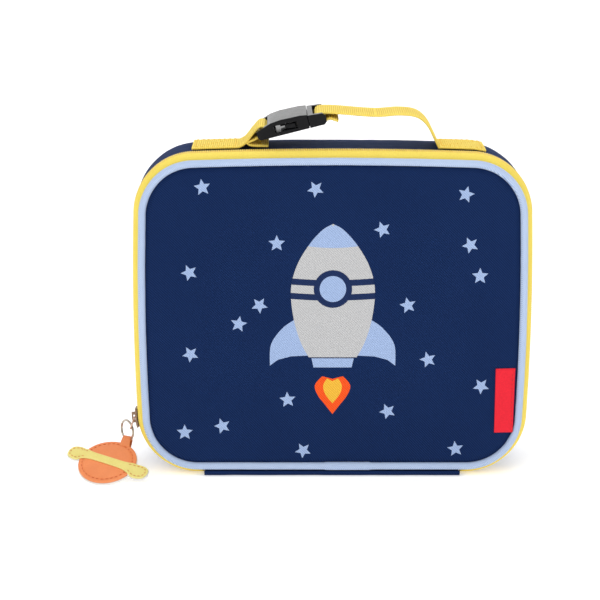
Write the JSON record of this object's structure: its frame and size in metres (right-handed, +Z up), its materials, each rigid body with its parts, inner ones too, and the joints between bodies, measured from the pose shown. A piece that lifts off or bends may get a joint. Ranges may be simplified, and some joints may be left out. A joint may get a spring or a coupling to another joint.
{
  "type": "insulated lunch bag",
  "caption": "Soft insulated lunch bag for children: padded rounded-rectangle body, zip-round front lid, piping, webbing handle with side-release buckle, stitched planet zip charm.",
  "frame": {"origin": "centre of the base panel's flat underside, on the surface the bag stands on", "axes": "+Z up, +X to the right seen from the front, +Y to the back; the front lid faces -Y"},
  "size_m": [0.2723, 0.0926, 0.2138],
  "materials": {
    "navy_fabric": "matte woven",
    "insulation_foam": "soft closed-cell foam",
    "silver_lining": "satin foil lining",
    "light_blue_piping": "matte woven",
    "yellow_zip_tape": "matte woven",
    "yellow_zip_coil": "satin nylon",
    "yellow_webbing": "ribbed webbing",
    "red_label": "satin ribbon",
    "black_acetal": "gloss",
    "dark_bronze": "dark bronze plated",
    "rose_gold_wire": "rose gold plated",
    "nickel_wire": "nickel plated",
    "orange_leatherette": "smooth",
    "yellow_leatherette": "smooth",
    "white_backing": "smooth"
  },
  "bodies": {
    "bag_body": {"gusset_outer": "navy_fabric", "gusset_foam": "insulation_foam", "gusset_lining": "silver_lining", "rim_binding": "silver_lining", "back_panel": "navy_fabric", "back_foam": "insulation_foam", "back_lining": "silver_lining", "piping_back": "light_blue_piping", "zip_coil_body": "yellow_zip_coil", "zip_tape_body": "yellow_zip_tape", "bottom_panel": "navy_fabric", "hinge_pad": "silver_lining", "zip_stop_left": "dark_bronze", "zip_stop_right": "dark_bronze", "strap_left": "yellow_webbing", "strap_right": "yellow_webbing", "buckle_female": "black_acetal"},
    "lid": {"front_panel": "navy_fabric", "front_foam": "insulation_foam", "front_lining": "silver_lining", "piping_front": "light_blue_piping", "zip_tape_lid": "yellow_zip_tape", "zip_coil_lid": "yellow_zip_coil", "lid_binding": "silver_lining", "label_tag": "red_label"},
    "slider": {"slider_body": "dark_bronze"},
    "pull": {"slider_pull": "rose_gold_wire"},
    "ring": {"split_ring": "nickel_wire"},
    "charm": {"charm_backing": "white_backing", "charm_planet": "orange_leatherette", "charm_band": "yellow_leatherette"},
    "buckle_insert": {"buckle_male": "black_acetal"},
    "front_prong": {"prong_front": "black_acetal"},
    "back_prong": {"prong_back": "black_acetal"}
  },
  "joints": [
    {"name": "lid_hinge", "type": "hinge", "parent": "bag_body", "child": "lid", "pos_m": [0, -0.0358, 0.0024], "axis": [1, 0, 0], "range_deg": [0, 90]},
    {"name": "slider_travel", "type": "hinge", "parent": "bag_body", "child": "slider", "pos_m": [-0.0785, -0.0252, 0.036], "axis": [0, -1, 0], "range_deg": [0, 70]},
    {"name": "pull_swing", "type": "hinge", "parent": "slider", "child": "pull", "pos_m": [-0.1164, -0.0252, 0.03268], "axis": [0, 1, 0], "range_deg": [0, 80]},
    {"name": "ring_swing", "type": "hinge", "parent": "pull", "child": "ring", "pos_m": [-0.11832, -0.0252, 0.02742], "axis": [0.4132, -0.4924, -0.766], "range_deg": [0, 35]},
    {"name": "charm_swing", "type": "hinge", "parent": "ring", "child": "charm", "pos_m": [-0.12127, -0.02168, 0.01757], "axis": [0.6428, -0.766, 0], "range_deg": [-50, 50]},
    {"name": "buckle_release", "type": "slide", "parent": "bag_body", "child": "buckle_insert", "axis": [0.9744, 0, 0.225], "range_m": [0, 0.022], "deforming": ["strap_right", "prong_front", "prong_back"]},
    {"name": "front_prong_press", "type": "hinge", "parent": "buckle_insert", "child": "front_prong", "pos_m": [-0.01433, -0.01816, 0.20643], "axis": [0.2242, 0.0797, -0.9713], "range_deg": [0, 8], "stiffness_Nm_per_rad": 0.05},
    {"name": "back_prong_press", "type": "hinge", "parent": "buckle_insert", "child": "back_prong", "pos_m": [-0.01477, 0.00616, 0.20833], "axis": [-0.2242, -0.0797, 0.9713], "range_deg": [0, 8], "stiffness_Nm_per_rad": 0.05}
  ]
}
